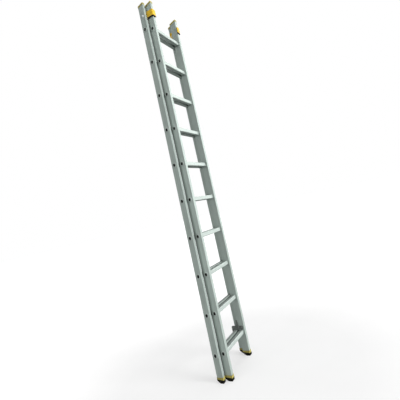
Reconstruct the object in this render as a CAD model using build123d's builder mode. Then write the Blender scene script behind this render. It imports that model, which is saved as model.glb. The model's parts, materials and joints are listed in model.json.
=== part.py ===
from build123d import *
import os

# Two-section push-up extension ladder, nested and standing upright, in millimetres.
# X runs along the rungs, -Y is the side that is climbed, +Z runs up the stiles.
# The origin is below the centre of the ladder, level with the lowest points of the soles.

# ---------------------------------------------------------------- driving dimensions
RUNG_COUNT = 10
RUNG_PITCH = 280.0
RUNG_SIZE = 30.0            # depth and height of the rung's tread section
BOTTOM_RUNG_Z = 186.0       # axis of the lowest rung above the soles

FLY_WIDTH = 382.0           # over the outer faces of the front section's stiles
FLY_STILE_WIDTH = 28.0
FLY_STILE_DEPTH = 60.0
BASE_WIDTH = 450.0          # over the outer faces of the rear section's stiles
BASE_STILE_WIDTH = 25.0
BASE_STILE_DEPTH = 50.0
SECTION_SPACING = 48.0      # from the front section's rung axes to the rear section's
FLY_Y = -20.0
BASE_Y = FLY_Y + SECTION_SPACING

STILE_WALL = 2.0
STILE_CORNER = 3.0
FIT = 0.1                   # clearance around spigots, rivets and bolts in their holes
CUT_MARGIN = 1.0            # how far a cut runs past the face it goes through

# ---------------------------------------------------------------- rungs
RUNG_CORNER = 5.0
GROOVE_COUNT = 7
GROOVE_PITCH = 3.2
GROOVE_WIDTH = 1.4
GROOVE_DEPTH = 0.8
SPIGOT_RADIUS = 15.0
BORE_WIDTH = 19.0
BORE_HEIGHT = 25.0
OUTER_COLLAR_RADIUS = 18.0
INNER_COLLAR_RADIUS = 19.0
COLLAR_HEIGHT = 3.0
COLLAR_ROUND = 1.8
RUNG_WALL = 2.2             # of the hollow tread between its closed-in ends
RUNG_END_WALL = 4.0

# ---------------------------------------------------------------- stile ends
TOP_RUNG_Z = BOTTOM_RUNG_Z + (RUNG_COUNT - 1) * RUNG_PITCH
CAP_ABOVE_RUNG = 221.0      # middle of the cap's top above the top rung
CAP_SLOPE = 0.31            # the caps rise towards the front
CAP_HEIGHT = 16.0
CAP_PLATE = 4.0
CAP_SKIN = 2.0
CAP_ROUND = 2.5
POCKET_CLEARANCE = 0.2

STILE_FOOT_Z = 30.0         # square-cut lower end of each stile
BOOT_TOP_Z = 38.0
BOOT_REAR_Z = 27.0          # lower edge of the yellow boot at its rear
BOOT_FRONT_Z = 20.0         # and at its front
BOOT_SKIN = 2.0
PLUG_HEIGHT = 22.0
SOLE_SKIN = 3.0
SOLE_HEEL_Z = 23.0          # the heel rises from the middle of the stile to this height
SOLE_HEEL_BULGE = 1.5       # the heel's curve sinks this far below its chord
SOLE_TOE_SETBACK = 4.0      # the flat tread ends this far behind the front of the stile
SOLE_TOE_Z = 6.0

# ---------------------------------------------------------------- guide brackets
BRACKET_WALL = 5.0
BRACKET_TOP = 153.0         # heights above the top rung's axis
BRACKET_BOTTOM = 102.0
BRACKET_TAIL = 58.0
LINER_BOTTOM = 94.0
LIP_THICKNESS = 6.0
LIP_GAP = 3.0               # between the lip and the front face of the fly stile
LIP_OVERHANG = 3.0          # how far the lip reaches past the fly stile's inner edge
LIP_ROUND = 10.0
BRACKET_CORNER = 8.0
PLATE_FRONT = -4.0          # the mounting plate's extent about the base stile's middle
PLATE_REAR = 20.0
LINER_PAD = 1.2             # thickness of the pad behind the lip
LINER_PAD_MARGIN = 1.0
LINER_PAD_TOP = 146.0

BOLT_Z = TOP_RUNG_Z + 113.0
BOLT_Y = BASE_Y - 4.8
BOLT_SHANK_RADIUS = 4.0
BOLT_HEAD_RADIUS = 8.5
BOLT_HEAD_HEIGHT = 5.5
BOLT_HEAD_EDGE = 1.0        # straight rim below the dome
BOLT_TAIL = 8.5             # thread past the plate, through the nut
NUT_RADIUS = 7.5
NUT_HEIGHT = 6.5

# ---------------------------------------------------------------- rung hooks
HOOK_THICKNESS = 5.0
HOOK_SEAT = RUNG_SIZE / 2 + 0.3     # underside of the arm above the rung's axis
HOOK_TOP = 48.0
HOOK_HEEL = 20.5            # underside of the mounting part, above the inner collar
HOOK_FRONT = -20.0          # heights above and depths behind the fly rung's axis
HOOK_REAR = 79.0
HOOK_CHAMFER = 6.0
HOOK_BEND = 10.0            # outer corner where the arm turns down into the claw
SEAT_FRONT = SECTION_SPACING - RUNG_SIZE / 2 - 4
SEAT_STEP = 5.0             # run of the step between the mounting part and the seat
CLAW_FRONT = 64.5
CLAW_TIP = -8.0
CLAW_TIP_FRONT = 66.5
CLAW_TIP_REAR = 74.0
BRACE_TOP = 94.0
BRACE_FRONT = 15.0
BRACE_REAR = 30.5
BRACE_FLARE = 9.0           # extra width of the brace's foot at the rear
BRACE_FLARE_TOP = 64.0
RIVET_DEPTHS = (-8.0, 16.0)
RIVET_HEIGHT = 38.0
RIVET_RADIUS = 2.5
RIVET_HEAD_RADIUS = 6.0
RIVET_HEAD_HEIGHT = 2.6
RIVET_HEAD_EDGE = 0.8
RIVET_TAIL = 1.0            # past the inside of the stile's wall

RUNG_HEIGHTS = [BOTTOM_RUNG_Z + i * RUNG_PITCH for i in range(RUNG_COUNT)]
SIDES = (("left", -1), ("right", 1))
SECTIONS = {
    "fly": (FLY_Y, FLY_WIDTH, FLY_STILE_WIDTH, FLY_STILE_DEPTH),
    "base": (BASE_Y, BASE_WIDTH, BASE_STILE_WIDTH, BASE_STILE_DEPTH),
}

os.makedirs("parts", exist_ok=True)


def save(shape, name):
    shape.label = name
    export_step(shape, f"parts/{name}.step")


def side_plane(x, y=0.0, z=0.0):
    """A plane facing +X: its own x is the ladder's Y and its own y is Z."""
    return Plane(origin=(x, y, z), x_dir=(0, 1, 0), z_dir=(1, 0, 0))


def stile_centre(section, side):
    _, width, stile_width, _ = SECTIONS[section]
    return side * (width - stile_width) / 2


def cap_top_z(depth_offset):
    """Height of the caps' sloping top at a depth behind the stile's middle."""
    return TOP_RUNG_Z + CAP_ABOVE_RUNG - CAP_SLOPE * depth_offset


# ---------------------------------------------------------------- stiles
def make_stile(section, side_name, side):
    y, _, width, depth = SECTIONS[section]
    x = stile_centre(section, side)
    reach = depth / 2 + CUT_MARGIN
    end_drop = CAP_PLATE + POCKET_CLEARANCE
    with BuildPart() as stile:
        with BuildSketch(Plane(origin=(x, y, STILE_FOOT_Z))):
            RectangleRounded(width, depth, STILE_CORNER)
            RectangleRounded(width - 2 * STILE_WALL, depth - 2 * STILE_WALL,
                             STILE_CORNER - STILE_WALL, mode=Mode.SUBTRACT)
        extrude(amount=cap_top_z(-reach) - STILE_FOOT_Z)
        with BuildSketch(side_plane(x, y)):
            with Locations(*[(0, z) for z in RUNG_HEIGHTS]):
                Circle(SPIGOT_RADIUS + FIT)
        extrude(amount=width, both=True, mode=Mode.SUBTRACT)
        with BuildSketch(side_plane(x, y)):
            with BuildLine():
                Polyline((-reach, cap_top_z(-reach) - end_drop),
                         (reach, cap_top_z(reach) - end_drop),
                         (reach, cap_top_z(-reach) + CUT_MARGIN),
                         (-reach, cap_top_z(-reach) + CUT_MARGIN), close=True)
            make_face()
        extrude(amount=width, both=True, mode=Mode.SUBTRACT)
        if section == "base":
            with BuildSketch(side_plane(x)):
                with Locations((BOLT_Y, BOLT_Z)):
                    Circle(BOLT_SHANK_RADIUS + FIT)
            extrude(amount=width, both=True, mode=Mode.SUBTRACT)
        else:
            inner_face = x - side * width / 2
            with BuildSketch(side_plane(inner_face, y, BOTTOM_RUNG_Z)):
                with Locations(*[(d, RIVET_HEIGHT) for d in RIVET_DEPTHS]):
                    Circle(RIVET_RADIUS + FIT)
            extrude(amount=STILE_WALL + CUT_MARGIN, both=True, mode=Mode.SUBTRACT)
    save(stile.part, f"{section}_stile_{side_name}")


# ---------------------------------------------------------------- rungs
def make_rung(section, number, z):
    y, width, stile_width, _ = SECTIONS[section]
    half_span = width / 2 - stile_width
    half_width = width / 2
    with BuildPart() as rung:
        with BuildSketch(side_plane(-half_span, y, z)):
            RectangleRounded(RUNG_SIZE, RUNG_SIZE, RUNG_CORNER)
            grooves = [(GROOVE_PITCH * (i - (GROOVE_COUNT - 1) / 2), RUNG_SIZE / 2)
                       for i in range(GROOVE_COUNT)]
            with Locations(*grooves):
                Rectangle(GROOVE_WIDTH, 2 * GROOVE_DEPTH, mode=Mode.SUBTRACT)
        extrude(amount=2 * half_span)
        for _, side in SIDES:
            with BuildSketch(side_plane(side * (half_span - COLLAR_HEIGHT), y, z)):
                Circle(INNER_COLLAR_RADIUS)
            extrude(amount=side * COLLAR_HEIGHT)
            with BuildSketch(side_plane(side * half_span, y, z)):
                Circle(SPIGOT_RADIUS)
            extrude(amount=side * stile_width)
            with BuildSketch(side_plane(side * half_width, y, z)):
                Circle(OUTER_COLLAR_RADIUS)
            extrude(amount=side * COLLAR_HEIGHT)
        ends = rung.faces().sort_by(Axis.X)
        fillet([ends[0].outer_wire().edges()[0], ends[-1].outer_wire().edges()[0]], COLLAR_ROUND)
        with BuildSketch(side_plane(0, y, z)):
            SlotOverall(BORE_HEIGHT, BORE_WIDTH, rotation=90)
        extrude(amount=half_width + COLLAR_HEIGHT + CUT_MARGIN, both=True, mode=Mode.SUBTRACT)
        hollow = RUNG_SIZE - 2 * RUNG_WALL
        with BuildSketch(side_plane(0, y, z)):
            RectangleRounded(hollow, hollow, RUNG_CORNER - RUNG_WALL)
        extrude(amount=half_span - RUNG_END_WALL, both=True, mode=Mode.SUBTRACT)
    save(rung.part, f"{section}_rung_{number:02d}")


# ---------------------------------------------------------------- caps, boots and soles
def make_cap(section, side_name, side):
    y, _, width, depth = SECTIONS[section]
    x = stile_centre(section, side)
    outer = depth / 2 + CAP_SKIN
    inner = depth / 2 + POCKET_CLEARANCE
    with BuildPart() as cap:
        with BuildSketch(side_plane(x, y)):
            with BuildLine():
                Polyline((-outer, cap_top_z(-outer)), (outer, cap_top_z(outer)),
                         (outer, cap_top_z(outer) - CAP_HEIGHT),
                         (-outer, cap_top_z(-outer) - CAP_HEIGHT), close=True)
            make_face()
        extrude(amount=width / 2 + CAP_SKIN, both=True)
        fillet(cap.edges().filter_by(Axis.Z), STILE_CORNER + CAP_SKIN)
        fillet(cap.faces().sort_by(Axis.Z)[-1].edges(), CAP_ROUND)
        with BuildSketch(side_plane(x, y)):
            with BuildLine():
                Polyline((-inner, cap_top_z(-inner) - CAP_PLATE),
                         (inner, cap_top_z(inner) - CAP_PLATE),
                         (inner, cap_top_z(inner) - CAP_HEIGHT - CUT_MARGIN),
                         (-inner, cap_top_z(-inner) - CAP_HEIGHT - CUT_MARGIN), close=True)
            make_face()
        extrude(amount=width / 2 + POCKET_CLEARANCE, both=True, mode=Mode.SUBTRACT)
    save(cap.part, f"{section}_cap_{side_name}")


def make_boot(section, side_name, side):
    y, _, width, depth = SECTIONS[section]
    x = stile_centre(section, side)
    outer = depth / 2 + BOOT_SKIN
    with BuildPart() as boot:
        with BuildSketch(side_plane(x, y)):
            with BuildLine():
                Polyline((-outer, BOOT_TOP_Z), (outer, BOOT_TOP_Z), (outer, BOOT_REAR_Z),
                         (-outer, BOOT_FRONT_Z), close=True)
            make_face()
        extrude(amount=width / 2 + BOOT_SKIN, both=True)
        fillet(boot.edges().filter_by(Axis.Z), STILE_CORNER + BOOT_SKIN)
        with BuildSketch(Plane(origin=(x, y, STILE_FOOT_Z))):
            RectangleRounded(width + 2 * POCKET_CLEARANCE, depth + 2 * POCKET_CLEARANCE, STILE_CORNER)
        extrude(amount=BOOT_TOP_Z - STILE_FOOT_Z, mode=Mode.SUBTRACT)
        plug_inset = 2 * (STILE_WALL + POCKET_CLEARANCE)
        with BuildSketch(Plane(origin=(x, y, STILE_FOOT_Z))):
            RectangleRounded(width - plug_inset, depth - plug_inset, STILE_CORNER - STILE_WALL)
        extrude(amount=PLUG_HEIGHT)
    save(boot.part, f"{section}_boot_{side_name}")


def make_sole(section, side_name, side):
    y, _, width, depth = SECTIONS[section]
    x = stile_centre(section, side)
    boot = depth / 2 + BOOT_SKIN
    edge = depth / 2 + SOLE_SKIN
    toe = -(depth / 2 - SOLE_TOE_SETBACK)
    slope = (BOOT_REAR_Z - BOOT_FRONT_Z) / (2 * boot)
    joint_mid_z = (BOOT_REAR_Z + BOOT_FRONT_Z) / 2
    rear_top = (edge, joint_mid_z + slope * edge)
    front_top = (-edge, joint_mid_z - slope * edge)
    with BuildPart() as sole:
        with BuildSketch(side_plane(x, y)):
            with BuildLine():
                Line(front_top, rear_top)
                Line(rear_top, (edge, SOLE_HEEL_Z))
                SagittaArc((edge, SOLE_HEEL_Z), (0, 0), SOLE_HEEL_BULGE)
                Line((0, 0), (toe, 0))
                TangentArc((toe, 0), (-edge, SOLE_TOE_Z), tangent=(-1, 0))
                Line((-edge, SOLE_TOE_Z), front_top)
            make_face()
        extrude(amount=width / 2 + SOLE_SKIN, both=True)
        fillet(sole.edges().filter_by(Axis.Z), STILE_CORNER + SOLE_SKIN)
    save(sole.part, f"{section}_sole_{side_name}")


# ---------------------------------------------------------------- guide brackets
BRACKET_FACE_X = BASE_WIDTH / 2 - BASE_STILE_WIDTH
BRACKET_INSIDE_X = BRACKET_FACE_X - BRACKET_WALL
LIP_END_X = FLY_WIDTH / 2 - FLY_STILE_WIDTH - LIP_OVERHANG
LIP_INSIDE_Y = FLY_Y - FLY_STILE_DEPTH / 2 - LIP_GAP
LIP_OUTSIDE_Y = LIP_INSIDE_Y - LIP_THICKNESS
PLATE_REAR_Y = BASE_Y + PLATE_REAR
PLATE_FRONT_Y = BASE_Y + PLATE_FRONT - BASE_STILE_DEPTH / 2


def bracket_corners(side):
    """Plan of the bracket's arm: a side wall that turns in front of the fly stile."""
    return [(side * BRACKET_FACE_X, PLATE_FRONT_Y), (side * BRACKET_FACE_X, LIP_OUTSIDE_Y),
            (side * LIP_END_X, LIP_OUTSIDE_Y), (side * LIP_END_X, LIP_INSIDE_Y),
            (side * BRACKET_INSIDE_X, LIP_INSIDE_Y), (side * BRACKET_INSIDE_X, PLATE_FRONT_Y)]


def outer_corner(arm, side):
    """The upright outer edge where the arm turns into its lip."""
    upright = arm.edges().filter_by(Axis.Z)
    return upright.sort_by_distance((side * BRACKET_FACE_X, LIP_OUTSIDE_Y, TOP_RUNG_Z))[0]


def make_bracket(side_name, side):
    with BuildPart() as bracket:
        with BuildSketch(Plane.XY.offset(TOP_RUNG_Z + BRACKET_BOTTOM)):
            with BuildLine():
                Polyline(*bracket_corners(side), close=True)
            make_face()
        extrude(amount=BRACKET_TOP - BRACKET_BOTTOM)
        fillet(outer_corner(bracket, side), BRACKET_CORNER)
        lip_end = bracket.faces().filter_by(Axis.X).sort_by(Axis.X)[0 if side > 0 else -1]
        fillet(lip_end.edges().filter_by(Axis.Y).sort_by(Axis.Z)[-1], LIP_ROUND)
        with BuildSketch(side_plane(side * BRACKET_INSIDE_X)):
            with BuildLine():
                FilletPolyline((PLATE_FRONT_Y, TOP_RUNG_Z + BRACKET_TOP),
                               (PLATE_REAR_Y, TOP_RUNG_Z + BRACKET_TOP),
                               (PLATE_REAR_Y, TOP_RUNG_Z + BRACKET_TAIL),
                               (BASE_Y, TOP_RUNG_Z + BRACKET_TAIL),
                               (PLATE_FRONT_Y, TOP_RUNG_Z + BRACKET_BOTTOM), radius=LIP_ROUND / 2)
                Line((PLATE_FRONT_Y, TOP_RUNG_Z + BRACKET_BOTTOM),
                     (PLATE_FRONT_Y, TOP_RUNG_Z + BRACKET_TOP))
            make_face()
            with Locations((BOLT_Y, BOLT_Z)):
                Circle(BOLT_SHANK_RADIUS + FIT, mode=Mode.SUBTRACT)
        extrude(amount=side * BRACKET_WALL)
    save(bracket.part, f"guide_bracket_{side_name}")


def make_liner(side_name, side):
    pad_length = BRACKET_INSIDE_X - LIP_END_X - 2 * LINER_PAD_MARGIN
    with BuildPart() as liner:
        with BuildSketch(Plane.XY.offset(TOP_RUNG_Z + LINER_BOTTOM)):
            with BuildLine():
                Polyline(*bracket_corners(side), close=True)
            make_face()
        extrude(amount=BRACKET_BOTTOM - LINER_BOTTOM)
        fillet(outer_corner(liner, side), BRACKET_CORNER)
        pad_x = side * (BRACKET_INSIDE_X + LIP_END_X) / 2
        with BuildSketch(Plane(origin=(pad_x, LIP_INSIDE_Y + LINER_PAD / 2, TOP_RUNG_Z + LINER_BOTTOM))):
            Rectangle(pad_length, LINER_PAD)
        extrude(amount=LINER_PAD_TOP - LINER_BOTTOM)
    save(liner.part, f"guide_liner_{side_name}")


def make_bolt(side_name, side):
    outer_x = side * BASE_WIDTH / 2
    tail_x = side * (BRACKET_INSIDE_X - BOLT_TAIL)
    with BuildPart() as bolt:
        with BuildSketch(side_plane(outer_x, BOLT_Y, BOLT_Z)):
            Circle(BOLT_HEAD_RADIUS)
        extrude(amount=side * BOLT_HEAD_HEIGHT)
        crown = bolt.faces().filter_by(Axis.X).sort_by(Axis.X)[-1 if side > 0 else 0]
        fillet(crown.edges(), BOLT_HEAD_HEIGHT - BOLT_HEAD_EDGE)
        with BuildSketch(side_plane(tail_x, BOLT_Y, BOLT_Z)):
            Circle(BOLT_SHANK_RADIUS)
        extrude(amount=outer_x - tail_x)
    save(bolt.part, f"guide_bolt_{side_name}")


def make_nut(side_name, side):
    with BuildPart() as nut:
        with BuildSketch(side_plane(side * BRACKET_INSIDE_X, BOLT_Y, BOLT_Z)):
            RegularPolygon(NUT_RADIUS, 6)
            Circle(BOLT_SHANK_RADIUS + FIT, mode=Mode.SUBTRACT)
        extrude(amount=-side * NUT_HEIGHT)
    save(nut.part, f"guide_nut_{side_name}")


# ---------------------------------------------------------------- rung hooks
HOOK_FACE_X = FLY_WIDTH / 2 - FLY_STILE_WIDTH


def make_hook(side_name, side):
    bend = HOOK_REAR - HOOK_BEND
    with BuildPart() as hook:
        with BuildSketch(side_plane(side * HOOK_FACE_X, FLY_Y, BOTTOM_RUNG_Z)):
            with BuildLine():
                Polyline((HOOK_FRONT, HOOK_HEEL), (HOOK_FRONT, HOOK_TOP - HOOK_CHAMFER),
                         (HOOK_FRONT + HOOK_CHAMFER, HOOK_TOP), (BRACE_FRONT, HOOK_TOP),
                         (BRACE_FRONT + HOOK_CHAMFER, BRACE_TOP), (BRACE_REAR, BRACE_TOP),
                         (BRACE_REAR, BRACE_FLARE_TOP), (BRACE_REAR + BRACE_FLARE, HOOK_TOP),
                         (bend, HOOK_TOP))
                RadiusArc((bend, HOOK_TOP), (HOOK_REAR, HOOK_TOP - HOOK_BEND), HOOK_BEND)
                Polyline((HOOK_REAR, HOOK_TOP - HOOK_BEND), (HOOK_REAR, CLAW_TIP + HOOK_CHAMFER),
                         (CLAW_TIP_REAR, CLAW_TIP), (CLAW_TIP_FRONT, CLAW_TIP),
                         (CLAW_FRONT, CLAW_TIP + HOOK_CHAMFER), (CLAW_FRONT, HOOK_SEAT),
                         (SEAT_FRONT, HOOK_SEAT), (SEAT_FRONT - SEAT_STEP, HOOK_HEEL),
                         (HOOK_FRONT, HOOK_HEEL))
            make_face()
            with Locations(*[(d, RIVET_HEIGHT) for d in RIVET_DEPTHS]):
                Circle(RIVET_RADIUS + FIT, mode=Mode.SUBTRACT)
        extrude(amount=-side * HOOK_THICKNESS)
    save(hook.part, f"rung_hook_{side_name}")


def make_rivets(side_name, side):
    head_x = side * (HOOK_FACE_X - HOOK_THICKNESS)
    places = [(d, RIVET_HEIGHT) for d in RIVET_DEPTHS]
    with BuildPart() as rivets:
        with BuildSketch(side_plane(head_x, FLY_Y, BOTTOM_RUNG_Z)):
            with Locations(*places):
                Circle(RIVET_HEAD_RADIUS)
        extrude(amount=-side * RIVET_HEAD_HEIGHT)
        crowns = rivets.faces().filter_by(Axis.X).group_by(Axis.X)[0 if side > 0 else -1]
        fillet(crowns.edges(), RIVET_HEAD_HEIGHT - RIVET_HEAD_EDGE)
        with BuildSketch(side_plane(head_x, FLY_Y, BOTTOM_RUNG_Z)):
            with Locations(*places):
                Circle(RIVET_RADIUS)
        extrude(amount=side * (HOOK_THICKNESS + STILE_WALL + RIVET_TAIL))
    save(rivets.part, f"hook_rivets_{side_name}")


for section in SECTIONS:
    for number, height in enumerate(RUNG_HEIGHTS, start=1):
        make_rung(section, number, height)
    for side_name, side in SIDES:
        make_stile(section, side_name, side)
        make_cap(section, side_name, side)
        make_boot(section, side_name, side)
        make_sole(section, side_name, side)

for side_name, side in SIDES:
    make_bracket(side_name, side)
    make_liner(side_name, side)
    make_bolt(side_name, side)
    make_nut(side_name, side)
    make_hook(side_name, side)
    make_rivets(side_name, side)
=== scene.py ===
"""Looks of the two-section extension ladder: materials, floor, light and camera, in metres."""
import json
import math

import bmesh
import bpy
from mathutils import Matrix, Vector


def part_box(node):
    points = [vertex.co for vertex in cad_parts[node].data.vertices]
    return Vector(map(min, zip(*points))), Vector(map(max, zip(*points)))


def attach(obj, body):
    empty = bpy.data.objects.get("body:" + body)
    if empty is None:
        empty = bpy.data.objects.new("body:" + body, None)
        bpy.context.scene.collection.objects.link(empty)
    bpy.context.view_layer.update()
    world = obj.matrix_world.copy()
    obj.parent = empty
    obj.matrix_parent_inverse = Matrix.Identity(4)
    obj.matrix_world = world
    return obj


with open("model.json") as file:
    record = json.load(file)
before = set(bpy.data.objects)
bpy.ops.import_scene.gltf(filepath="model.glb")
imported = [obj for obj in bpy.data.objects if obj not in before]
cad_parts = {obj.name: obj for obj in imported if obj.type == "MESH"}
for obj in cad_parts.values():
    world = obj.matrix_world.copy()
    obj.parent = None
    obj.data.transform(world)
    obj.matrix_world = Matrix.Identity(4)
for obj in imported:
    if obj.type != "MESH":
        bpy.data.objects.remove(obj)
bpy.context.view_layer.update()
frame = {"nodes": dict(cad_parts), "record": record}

# ---------------------------------------------------------------- camera and studio
LEAN = math.radians(14.07)          # how far back the ladder leans in use
SIDE_LEAN = math.radians(0.51)
CAMERA_SIDE = 2.214                 # to the left of the ladder's middle
CAMERA_FRONT = 0.911                # level distance in front of its foot
CAMERA_HEIGHT = 1.446
CAMERA_TURN = math.radians(61.01)   # from straight at the wall towards the right
LENS_MM = 28.12
SENSOR_MM = 36.0
SHIFT_UP = -0.0593
SHIFT_RIGHT = -0.002
RUNG_COUNT = 10
FLOOR_SIZE = 60.0                   # half the floor's width
FLOOR_BOUNCE = (0.25, 0.255, 0.25)  # the floor's tone in the light it gives back
FLOOR_TONES = (0.4, 0.42)           # its mottled tone to the camera
FLOOR_GLOW = 0.75
FLOOR_GLOW_IN_SHADOW = 0.52
FLOOR_SHADOW_POOL = 0.45                   # one over the radius of the painted soft shadow, a greyer floor around the feet

# ---------------------------------------------------------------- node helpers


def new_material(name):
    material = bpy.data.materials.new(name)
    material.use_nodes = True
    tree = material.node_tree
    shader = tree.nodes["Principled BSDF"]
    return material, tree, shader


def add_node(tree, kind, **settings):
    node = tree.nodes.new(kind)
    for key, value in settings.items():
        if key in node.inputs:
            node.inputs[key].default_value = value
        else:
            setattr(node, key, value)
    return node


def object_coords(tree, scale):
    """Object coordinates stretched by a scale for each axis."""
    coords = add_node(tree, "ShaderNodeTexCoord")
    mapping = add_node(tree, "ShaderNodeMapping")
    mapping.inputs["Scale"].default_value = scale
    tree.links.new(coords.outputs["Object"], mapping.inputs["Vector"])
    return mapping.outputs["Vector"]


def noise(tree, scale, detail=3.0, roughness=0.55):
    texture = add_node(tree, "ShaderNodeTexNoise", Scale=1.0, Detail=detail, Roughness=roughness)
    tree.links.new(object_coords(tree, scale), texture.inputs["Vector"])
    return texture.outputs["Fac"]


def ramp(tree, source, stops):
    """A colour ramp: stops are (position, colour or grey value)."""
    node = add_node(tree, "ShaderNodeValToRGB")
    elements = node.color_ramp.elements
    while len(elements) < len(stops):
        elements.new(0.5)
    for element, (position, value) in zip(elements, stops):
        element.position = position
        element.color = (*value, 1.0) if isinstance(value, tuple) else (value, value, value, 1.0)
    tree.links.new(source, node.inputs["Fac"])
    return node.outputs["Color"]


def mix(tree, factor, first, second, blend="MIX"):
    node = add_node(tree, "ShaderNodeMix", data_type="RGBA", blend_type=blend)
    for socket, value in ((node.inputs[0], factor), (node.inputs[6], first), (node.inputs[7], second)):
        if isinstance(value, bpy.types.NodeSocket):
            tree.links.new(value, socket)
        elif isinstance(value, tuple):
            socket.default_value = (*value, 1.0)
        else:
            socket.default_value = value
    return node.outputs[2]


def bump(tree, shader, height, distance, strength=1.0, under=None):
    node = add_node(tree, "ShaderNodeBump", Strength=strength, Distance=distance)
    tree.links.new(height, node.inputs["Height"])
    if under is not None:
        tree.links.new(under, node.inputs["Normal"])
    tree.links.new(node.outputs["Normal"], shader.inputs["Normal"])
    return node.outputs["Normal"]


# ---------------------------------------------------------------- materials
BORE_SHADE = (0.03, 0.0, 0.42)      # painted shade in the rungs' bores: reach, darkest tone and where it opens
GAP_SHADE = (0.08, 0.35, 0.7)       # painted shade between the two sections, set the same way


def crevice_shade(tree, reach, dark, open_at):
    """Painted shade: a grey mask from ambient occlusion that falls to `dark` deep inside bores and
    gaps.
    """
    hidden = add_node(tree, "ShaderNodeAmbientOcclusion", samples=8, Distance=reach)
    return ramp(tree, hidden.outputs["AO"], [(0.08, dark), (open_at, 1.0)])


def extruded_aluminium(name, along, colour):
    """Mill-finish aluminium with die lines along one axis, dull patches, small scuffs and painted
    shade in bores and gaps.
    """
    material, tree, shader = new_material(name)
    fine = [420.0, 420.0, 420.0]
    fine["XYZ".index(along)] = 2.5
    broad = [60.0, 60.0, 60.0]
    broad["XYZ".index(along)] = 1.2
    lines = noise(tree, fine, detail=4.0)
    streaks = noise(tree, broad, detail=3.0)
    patches = noise(tree, (7.0, 7.0, 5.0), detail=5.0)
    scuffs = noise(tree, (90.0, 150.0, 35.0), detail=6.0, roughness=0.7)
    dull = tuple(c * 0.84 for c in colour)
    light = tuple(min(1.0, c * 1.1) for c in colour)
    tone = ramp(tree, patches, [(0.3, dull), (0.7, colour)])
    tone = mix(tree, ramp(tree, streaks, [(0.42, 0.0), (0.75, 0.55)]), tone, light)
    tone = mix(tree, ramp(tree, scuffs, [(0.62, 0.0), (0.72, 0.35)]), tone, dull)
    # painted shade multiplied into the tone inside the rungs' bores and in the gap between the
    # sections
    for shade in (BORE_SHADE, GAP_SHADE):
        tone = mix(tree, 1.0, tone, crevice_shade(tree, *shade), blend="MULTIPLY")
    tree.links.new(tone, shader.inputs["Base Color"])
    shader.inputs["Metallic"].default_value = 0.45
    rough = ramp(tree, mix(tree, 0.5, lines, patches), [(0.3, 0.42), (0.7, 0.58)])
    tree.links.new(rough, shader.inputs["Roughness"])
    under = bump(tree, shader, lines, 0.00012, strength=0.45)
    bump(tree, shader, scuffs, 0.0002, strength=0.15, under=under)
    return material


def moulded_plastic(name, colour, roughness, grain=900.0):
    """Injection-moulded plastic: fine grain, slow colour drift and rubbed dirt."""
    material, tree, shader = new_material(name)
    drift = noise(tree, (14.0, 14.0, 14.0), detail=3.0)
    dirt = noise(tree, (55.0, 55.0, 30.0), detail=6.0, roughness=0.65)
    surface = noise(tree, (grain, grain, grain), detail=2.0)
    deep = tuple(c * 0.82 for c in colour)
    grime = tuple(c * 0.45 for c in colour)
    tone = ramp(tree, drift, [(0.3, deep), (0.7, colour)])
    tone = mix(tree, ramp(tree, dirt, [(0.58, 0.0), (0.8, 0.5)]), tone, grime)
    tree.links.new(tone, shader.inputs["Base Color"])
    rough = ramp(tree, dirt, [(0.3, roughness), (0.75, min(1.0, roughness + 0.22))])
    tree.links.new(rough, shader.inputs["Roughness"])
    bump(tree, shader, surface, 0.0001, strength=0.35)
    return material


MATERIALS = {
    "stile_aluminium": extruded_aluminium("stile_aluminium", "Z", (0.51, 0.59, 0.55)),
    "rung_aluminium": extruded_aluminium("rung_aluminium", "X", (0.55, 0.62, 0.585)),
    "yellow_plastic": moulded_plastic("yellow_plastic", (0.35, 0.3, 0.085), 0.5),
    "bracket_plastic": moulded_plastic("bracket_plastic", (0.66, 0.42, 0.025), 0.38),
    "liner_plastic": moulded_plastic("liner_plastic", (0.006, 0.006, 0.005), 0.5),
    "sole_rubber": moulded_plastic("sole_rubber", (0.005, 0.005, 0.003), 0.85, grain=500.0),
    "zinc_steel": extruded_aluminium("zinc_steel", "X", (0.95, 0.96, 0.97)),
    "hook_metal": moulded_plastic("hook_metal", (0.13, 0.145, 0.135), 0.5, grain=350.0),
    "rivet_aluminium": extruded_aluminium("rivet_aluminium", "X", (0.22, 0.23, 0.22)),
}


def dress_nodes():
    slots = {part["node"]: part["material_slot"] for part in frame["record"]["subparts"]}
    for name, node in frame["nodes"].items():
        node.data.materials.clear()
        node.data.materials.append(MATERIALS[slots[name]])


dress_nodes()

# ---------------------------------------------------------------- rung ends, painted shade inside their bores
BORE_HALF_WIDTH = 0.0095
BORE_HALF_HEIGHT = 0.0125
BORE_RECESS = 0.0015                # how far the painted shade of a rung's bore starts inside its end
DISH_DEPTH = 0.004                  # how much further in its middle lies
DISH_MIDDLE = 0.6                   # size of the middle against the rim
ARC_STEPS = 10


def slot_outline(half_width, half_height):
    """Points round an upright slot with half-round ends."""
    straight = half_height - half_width
    points = []
    for centre, start in ((straight, 0.0), (-straight, math.pi)):
        for i in range(ARC_STEPS + 1):
            angle = start + math.pi * i / ARC_STEPS
            points.append((half_width * math.cos(angle), centre + half_width * math.sin(angle)))
    return points


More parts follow.
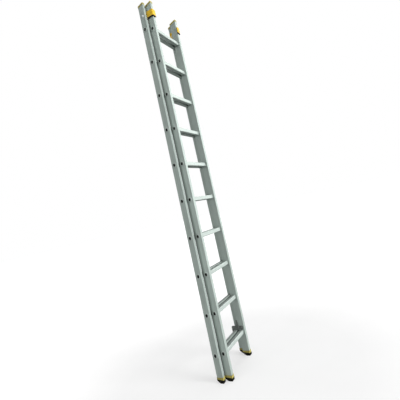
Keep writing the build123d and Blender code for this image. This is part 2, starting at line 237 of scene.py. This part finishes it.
def add_bore_shades(section):
    """Dished dark discs just inside the open ends of one section's rungs: painted shade of the hollow
    bores.
    """
    mesh = bmesh.new()
    for number in range(1, RUNG_COUNT + 1):
        low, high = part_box(f"{section}_rung_{number:02d}")
        depth, height = (low[1] + high[1]) / 2, (low[2] + high[2]) / 2
        for end, inward in ((low[0], 1), (high[0], -1)):
            rims = []
            for recess, scale in ((0.0, 1.0), (DISH_DEPTH, DISH_MIDDLE)):
                x = end + inward * (BORE_RECESS + recess)
                outline = slot_outline(BORE_HALF_WIDTH * scale, BORE_HALF_HEIGHT * scale)
                rims.append([mesh.verts.new((x, depth + a, height + b)) for a, b in outline])
            outer, inner = rims
            for i in range(len(outer)):
                j = (i + 1) % len(outer)
                mesh.faces.new((outer[i], outer[j], inner[j], inner[i]))
            mesh.faces.new(inner)
    data = bpy.data.meshes.new(f"{section}_bore_shades")
    mesh.to_mesh(data)
    mesh.free()
    piece = bpy.data.objects.new(f"{section}_bore_shades", data)
    bpy.context.scene.collection.objects.link(piece)
    # the near-black liner material stands in for the shade inside the hollow bore; these discs are
    # painted shade, not liners
    data.materials.append(MATERIALS["liner_plastic"])
    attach(piece, f"{section}_section")


for section in ("base", "fly"):
    add_bore_shades(section)

# ---------------------------------------------------------------- studio


def room_axes():
    """Level right, level away and upright directions of the room, in the leaning ladder's frame."""
    upright = Vector((math.sin(SIDE_LEAN), -math.cos(SIDE_LEAN) * math.sin(LEAN),
                      math.cos(SIDE_LEAN) * math.cos(LEAN)))
    away = upright.cross(Vector((1.0, 0.0, 0.0))).normalized()
    return away.cross(upright), away, upright


def add_camera():
    right, away, upright = room_axes()
    data = bpy.data.cameras.new("camera")
    data.lens = LENS_MM
    data.sensor_width = SENSOR_MM
    data.shift_x = SHIFT_RIGHT
    data.shift_y = SHIFT_UP
    camera = bpy.data.objects.new("camera", data)
    bpy.context.scene.collection.objects.link(camera)
    look = math.sin(CAMERA_TURN) * right + math.cos(CAMERA_TURN) * away
    across = look.cross(upright)
    place = -CAMERA_SIDE * right - CAMERA_FRONT * away + CAMERA_HEIGHT * upright
    turn = Matrix((across, upright, -look)).transposed()
    camera.matrix_world = Matrix.Translation(place) @ turn.to_4x4()
    bpy.context.scene.camera = camera


def add_floor():
    mesh = bpy.data.meshes.new("floor")
    corners = [(x * FLOOR_SIZE, y * FLOOR_SIZE, 0) for x, y in ((-1, -1), (1, -1), (1, 1), (-1, 1))]
    mesh.from_pydata(corners, [], [(0, 1, 2, 3)])
    floor = bpy.data.objects.new("floor", mesh)
    bpy.context.scene.collection.objects.link(floor)
    material, tree, shader = new_material("floor")
    tone = ramp(tree, noise(tree, (2.0, 2.0, 2.0)), list(zip((0.3, 0.7), FLOOR_TONES)))
    path = add_node(tree, "ShaderNodeLightPath")
    seen = path.outputs["Is Camera Ray"]
    tree.links.new(mix(tree, seen, FLOOR_BOUNCE, tone), shader.inputs["Base Color"])
    # painted soft shadow of the ladder: the glow the camera sees falls towards the feet, giving a
    # greyer pool
    shadow_pool = add_node(tree, "ShaderNodeTexGradient", gradient_type="SPHERICAL")
    tree.links.new(object_coords(tree, (FLOOR_SHADOW_POOL, FLOOR_SHADOW_POOL, FLOOR_SHADOW_POOL)), shadow_pool.inputs["Vector"])
    glow = ramp(tree, shadow_pool.outputs["Fac"], [(0.0, FLOOR_GLOW), (0.6, FLOOR_GLOW_IN_SHADOW)])
    tree.links.new(mix(tree, seen, (0.0, 0.0, 0.0), glow), shader.inputs["Emission Color"])
    shader.inputs["Emission Strength"].default_value = 1.0
    shader.inputs["Roughness"].default_value = 0.9
    shader.inputs["Specular IOR Level"].default_value = 0.2
    mesh.materials.append(material)


def add_soft_light(name, side, depth, height, strength, spread, shine=True):
    """Even light from one direction, given by a point it comes from; spread is its angular size."""
    data = bpy.data.lights.new(name, "SUN")
    data.energy = strength
    data.angle = math.radians(spread)
    light = bpy.data.objects.new(name, data)
    light.visible_glossy = shine
    light.location = (side, depth, height)
    light.rotation_euler = (-light.location).to_track_quat("-Z", "Y").to_euler()
    bpy.context.scene.collection.objects.link(light)


def add_world(ambient):
    world = bpy.data.worlds.new("studio")
    bpy.context.scene.world = world
    world.use_nodes = True
    tree = world.node_tree
    background = tree.nodes["Background"]
    path = add_node(tree, "ShaderNodeLightPath")
    seen = mix(tree, path.outputs["Is Camera Ray"], (ambient, ambient, ambient), (1.0, 1.0, 1.0))
    tree.links.new(seen, background.inputs["Color"])
    background.inputs["Strength"].default_value = 1.0


add_camera()
add_floor()
add_world(0.15)
add_soft_light("overhead", 0.0, 0.0, 6.0, 1.4, 50)
add_soft_light("front_key", -0.3, -5.0, 0.9, 5.0, 25, shine=False)
add_soft_light("front_card", 4.3, -2.4, 0.4, 1.7, 70)
add_soft_light("side_strip", -4.0, 2.1, 0.3, 1.3, 14, shine=False)
add_soft_light("side_level", -4.5, 0.0, 0.2, 0.25, 8, shine=False)
bpy.context.scene.view_settings.view_transform = "Standard"
